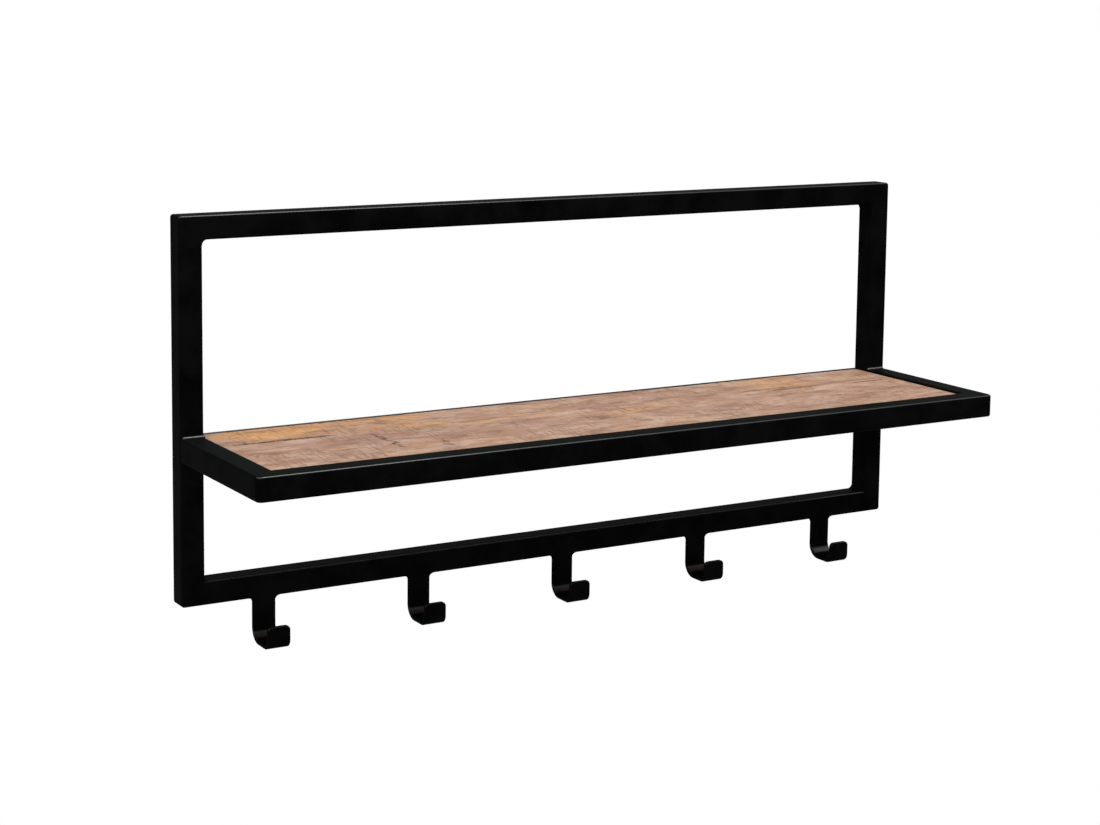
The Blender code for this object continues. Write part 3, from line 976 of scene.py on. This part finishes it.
class RACK_OT_screws(bpy.types.Operator):
    """Turn one cross-head wood screw and drive a copy of it up at every support"""

    bl_idname = "rack.screws"
    bl_label = "Wood screws"

    def execute(self, context):
        props = context.scene.rack_screws
        low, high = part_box(SCREWS[0])
        blank = new_object("screw_blank", screw_mesh((high.x - low.x) / 2, high.z - low.z, props))
        cutter = recess_cutter(props)
        cut = blank.modifiers.new("recess", "BOOLEAN")
        cut.object = cutter
        cut.use_self = True
        applied(blank)
        bpy.data.objects.remove(cutter)
        places = []
        for name in SCREWS:
            low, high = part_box(name)
            places.append(((low.x + high.x) / 2, (low.y + high.y) / 2, low.z))
        screws = loose_points("wood_screws", places)
        grown(screws, screw_tree(), screw=blank, seed=props.seed, material=zinc_material())
        bpy.data.objects.remove(blank)
        finish_piece(screws, "zinc_screw", *SCREWS)
        return {"FINISHED"}


# Steel

def ground_down(t, u, reach, half, radius):
    """A point near a mitred corner after grinding: squares round the corner's centre become circles."""
    plan = Vector((t - (reach - radius), u - (half - radius)))
    if min(plan) <= 0:
        return t, u
    plan *= max(plan) / plan.length
    return reach - radius + plan.x, half - radius + plan.y


def tube_rings(name, props):
    """Rings of points along a square tube. Mitred ends meet their neighbour, ground round outside."""
    along, outward, mitred = TUBES[name]
    across = along.cross(outward)
    low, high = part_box(name)
    run = max(range(3), key=lambda axis: abs(along[axis]))
    low[run] = (-OUTER_X, FRONT_LOW.y, FRAME_BOTTOM)[run]
    high[run] = (OUTER_X, -TUBE, FRAME_TOP)[run]
    centre, reach = (low + high) / 2, abs((high - low).dot(along)) / 2
    half, end_margin = TUBE / 2, 0.002
    ground = props.shelf_corner if name.startswith("shelf") else props.frame_corner
    section = rounded_section(half, half, (props.tube_corner,) * 4, (5, 5, 5, 5), 6)
    straight = reach - TUBE - end_margin
    shares = (0.0, 0.5, 0.72, 0.75, 0.78, 0.81, 0.84, 0.87, 0.9, 0.93, 0.95, 0.97, 0.985, 1.0)
    rings = []
    for end, share in [(-1, share) for share in reversed(shares)] + [(1, share) for share in shares]:
        points = []
        for u, w in section:
            limit = reach - (half - u) if mitred[end > 0] else reach
            t = straight + (limit - straight) * share
            if mitred[end > 0]:
                t, u = ground_down(t, u, reach, half, ground)
            points.append(centre + end * t * along + u * outward + w * across)
        rings.append(points)
    return rings


def frame_mesh(name, tubes, props):
    """Tubes welded into one skin, so that nothing shows where their mitres were ground flush."""
    bm = bmesh.new()
    for tube in tubes:
        sweep(bm, tube_rings(tube, props), [not mitred for mitred in TUBES[tube][2]])
    bmesh.ops.remove_doubles(bm, verts=bm.verts, dist=0.00001)
    return finished_mesh(name, bm)


def angle_mesh(props):
    """The bar of angle behind and under the boards, with rounded edges."""
    # The boards stand a fitting gap clear of the upright leg; rounding to a millimetre takes it out.
    thick = round(ANGLE_HIGH.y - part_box("shelf_board_back")[1].y, 3)
    edge, arc_steps = props.angle_edge, 5
    corners = (
        (ANGLE_LOW.y, ANGLE_LOW.z), (ANGLE_HIGH.y, ANGLE_LOW.z), (ANGLE_HIGH.y, ANGLE_HIGH.z),
        (ANGLE_HIGH.y - thick, ANGLE_HIGH.z), (ANGLE_HIGH.y - thick, ANGLE_LOW.z + thick),
        (ANGLE_LOW.y, ANGLE_LOW.z + thick),
    )
    outline = []
    for number, corner in enumerate(corners):
        here = Vector(corner)
        before = (Vector(corners[number - 1]) - here).normalized() * edge
        after = (Vector(corners[(number + 1) % len(corners)]) - here).normalized() * edge
        for step in range(arc_steps + 1):
            turn = math.pi / 2 * step / arc_steps
            outline.append(here + before * (1 - math.sin(turn)) + after * (1 - math.cos(turn)))
    return swept_mesh("shelf_angle", [[(x, y, z) for y, z in outline] for x in (ANGLE_LOW.x, ANGLE_HIGH.x)])


def arc_points(centre_z, radius, start, sweep_angle, steps):
    """Points of an arc in XZ, from its start angle on."""
    turns = [start + sweep_angle * step / steps for step in range(steps + 1)]
    return [(radius * math.cos(turn), centre_z + radius * math.sin(turn)) for turn in turns]


def keyhole_cutters(level_z, side, props):
    """A keyhole through a post's back wall, and a stretch of the hollow behind it."""
    head, slot = props.keyhole_head, props.keyhole_slot
    proud, hollow_reach = 0.001, 0.03
    meet = math.acos(slot / head)
    outline = arc_points(0.0, head, math.pi - meet, math.pi + 2 * meet, 32)
    outline += arc_points(props.keyhole_travel, slot, 0.0, math.pi, 12)
    x = side * (OUTER_X - TUBE / 2)
    hole = [[(x + u, y, level_z + v) for u, v in outline] for y in (proud, -2 * props.tube_wall)]
    inner, corner = TUBE / 2 - props.tube_wall, props.tube_corner - props.tube_wall
    section = rounded_section(inner, inner, (corner,) * 4, (1, 1, 1, 1), 2)
    heights = (level_z - hollow_reach, level_z + hollow_reach)
    hollow = [[(x + u, -TUBE / 2 + v, z) for u, v in section] for z in heights]
    shapes = (("keyhole", hole), ("hollow", hollow))
    return [new_object(name, swept_mesh(name, rings)) for name, rings in shapes]


def with_keyholes(frame_object, props):
    """Cuts the two keyholes in the back of each post."""
    for side in SIDES:
        for level_z in (FRAME_TOP - props.keyhole_inset, FRAME_BOTTOM + props.keyhole_inset):
            cutters = keyhole_cutters(level_z, side, props)
            for cutter in cutters:
                frame_object.modifiers.new(cutter.name, "BOOLEAN").object = cutter
            applied(frame_object)
            for cutter in cutters:
                bpy.data.objects.remove(cutter)
    frame_object.data.shade_smooth()
    frame_object.data.set_sharp_from_angle(angle=SHARP)


class RACK_OT_steel(bpy.types.Operator):
    """Make the wall frame with its keyholes, the shelf's frame and the angle, and coat the tabs"""

    bl_idname = "rack.steel"
    bl_label = "Painted steel"

    def execute(self, context):
        props = context.scene.rack_tubes
        for name, wanted in (("shelf_frame", True), ("wall_frame", False)):
            tubes = [tube for tube in TUBES if tube.startswith("shelf") is wanted]
            piece = new_object(name, frame_mesh(name, tubes, props), black_paint())
            if name == "wall_frame":
                with_keyholes(piece, props)
            finish_piece(piece, "black_paint", *tubes)
        angle = new_object("shelf_angle", angle_mesh(props), black_paint())
        finish_piece(angle, "black_paint", "shelf_back_angle")
        for name in TABS:
            for slot in frame["nodes"][name].material_slots:
                slot.material = black_paint()
        return {"FINISHED"}


# Stage

def softbox(name, place, target, size, power, colour):
    """A square lamp that the camera doesn't see, turned towards its target."""
    data = bpy.data.lights.new(name, "AREA")
    data.shape = "SQUARE"
    data.size = size
    data.energy = power
    data.color = colour
    lamp = bpy.data.objects.new(name, data)
    bpy.context.scene.collection.objects.link(lamp)
    lamp.location = place
    lamp.rotation_euler = (Vector(target) - Vector(place)).to_track_quat("-Z", "Y").to_euler()
    lamp.visible_camera = False


def seen_ray(tree):
    """1 for rays that show the background: straight to the camera, or by reflection or through glass."""
    seen = None
    for name in ("Is Camera Ray", "Is Glossy Ray", "Is Transmission Ray"):
        ray = tree.add("ShaderNodeLightPath", output=name)
        seen = ray if seen is None else tree.largest(seen, ray)
    return seen


def studio_world(level):
    """Even light from all round, in front of a background that looks white."""
    world = bpy.data.worlds.new("studio")
    world.use_nodes = True
    tree = Nodes(world.node_tree)
    world.node_tree.nodes.clear()
    strength = level + seen_ray(tree) * (1 - level)
    light = tree.add("ShaderNodeBackground", None, {"Color": (1, 1, 1, 1), "Strength": strength})
    tree.add("ShaderNodeOutputWorld", None, {"Surface": light}, None)
    bpy.context.scene.world = world


def studio_floor(z):
    """A pale disc that keeps the rack's shadow near it and melts into the white surround."""
    bm = bmesh.new()
    bmesh.ops.create_circle(bm, cap_ends=True, radius=6.0, segments=96)
    bmesh.ops.translate(bm, verts=bm.verts, vec=(0, 0, z))
    mesh = bpy.data.meshes.new("studio_floor")
    bm.to_mesh(mesh)
    bm.free()
    made = bpy.data.materials.new("studio_floor")
    made.use_nodes = True
    tree = Nodes(made.node_tree)
    made.node_tree.nodes.clear()
    point = tree.add("ShaderNodeTexCoord", output="Object")
    flat = tree.add("ShaderNodeVectorMath", {"operation": "MULTIPLY"}, {0: point, 1: (1.0, 1.0, 0.0)})
    reach = tree.add("ShaderNodeVectorMath", {"operation": "LENGTH"}, {0: flat}, "Value")
    matt = tree.add("ShaderNodeBsdfDiffuse", None, {"Color": (0.84, 0.84, 0.84, 1)})
    glow = tree.add("ShaderNodeEmission", None, {"Color": (1, 1, 1, 1), "Strength": 1.0})
    fade = tree.band(reach, 0.9, 2.1) * seen_ray(tree)
    surface = tree.add("ShaderNodeMixShader", None, {0: fade, 1: matt, 2: glow})
    tree.add("ShaderNodeOutputMaterial", None, {"Surface": surface}, None)
    return new_object("studio_floor", mesh, made)


class RACK_OT_stage(bpy.types.Operator):
    """Set up the pale floor, the softboxes, the white surround and the camera"""

    bl_idname = "rack.stage"
    bl_label = "Studio"

    def execute(self, context):
        props = context.scene.rack_studio
        scene = context.scene
        scene.view_settings.view_transform = "Standard"
        studio_floor(-props.floor_drop)
        studio_world(props.world_level)
        cool, warm = (0.96, 0.98, 1.0), (1.0, 0.99, 0.97)
        softbox("top_softbox", (0.35, -0.75, 1.85), (0.1, -0.12, SHELF_TOP), 1.2, props.key_power, cool)
        softbox("side_softbox", (-2.4, -2.2, 1.1), (0, -0.1, SHELF_TOP), 1.6, props.fill_power, warm)
        data = bpy.data.cameras.new("camera")
        data.sensor_width = 36
        data.lens = props.lens
        data.shift_y = props.rise
        camera = bpy.data.objects.new("camera", data)
        scene.collection.objects.link(camera)
        turn = Matrix.Rotation(-props.camera_pan, 4, "Z")
        turn @= Matrix.Rotation(math.pi / 2 - props.camera_tilt, 4, "X")
        turn @= Matrix.Rotation(props.camera_roll, 4, "Z")
        camera.matrix_world = Matrix.Translation(props.camera_place) @ turn
        scene.camera = camera
        return {"FINISHED"}


# Panel and registration

GROUPS = {
    "rack_paint": RackPaint,
    "rack_wood": RackWood,
    "rack_tubes": RackTubes,
    "rack_hooks": RackHooks,
    "rack_welds": RackWelds,
    "rack_screws": RackScrews,
    "rack_studio": RackStudio,
}
OPERATORS = (
    RACK_OT_stage, RACK_OT_steel, RACK_OT_boards, RACK_OT_hooks,
    RACK_OT_fillets, RACK_OT_welds, RACK_OT_screws,
)


class RACK_PT_sidebar(bpy.types.Panel):
    """Lists the rack's pieces and the sizes and colours that they use"""

    bl_idname = "RACK_PT_sidebar"
    bl_label = "Wall Coat Rack"
    bl_space_type = "VIEW_3D"
    bl_region_type = "UI"
    bl_category = "Coat Rack"

    def draw(self, context):
        for operator in OPERATORS:
            self.layout.operator(operator.bl_idname)
        for attribute, group in GROUPS.items():
            box = self.layout.box()
            box.label(text=attribute.replace("_", " ").capitalize())
            for name in group.__annotations__:
                box.prop(getattr(context.scene, attribute), name)


def register():
    for group in GROUPS.values():
        bpy.utils.register_class(group)
    for attribute, group in GROUPS.items():
        setattr(bpy.types.Scene, attribute, PointerProperty(type=group))
    for operator in OPERATORS:
        bpy.utils.register_class(operator)
    bpy.utils.register_class(RACK_PT_sidebar)


def unregister():
    bpy.utils.unregister_class(RACK_PT_sidebar)
    for operator in reversed(OPERATORS):
        bpy.utils.unregister_class(operator)
    for attribute, group in GROUPS.items():
        delattr(bpy.types.Scene, attribute)
        bpy.utils.unregister_class(group)


def main():
    register()
    bpy.ops.rack.stage()
    bpy.ops.rack.steel()
    bpy.ops.rack.boards()
    bpy.ops.rack.hooks()
    bpy.ops.rack.fillets()
    bpy.ops.rack.welds()
    bpy.ops.rack.screws()


if __name__ == "__main__":
    main()
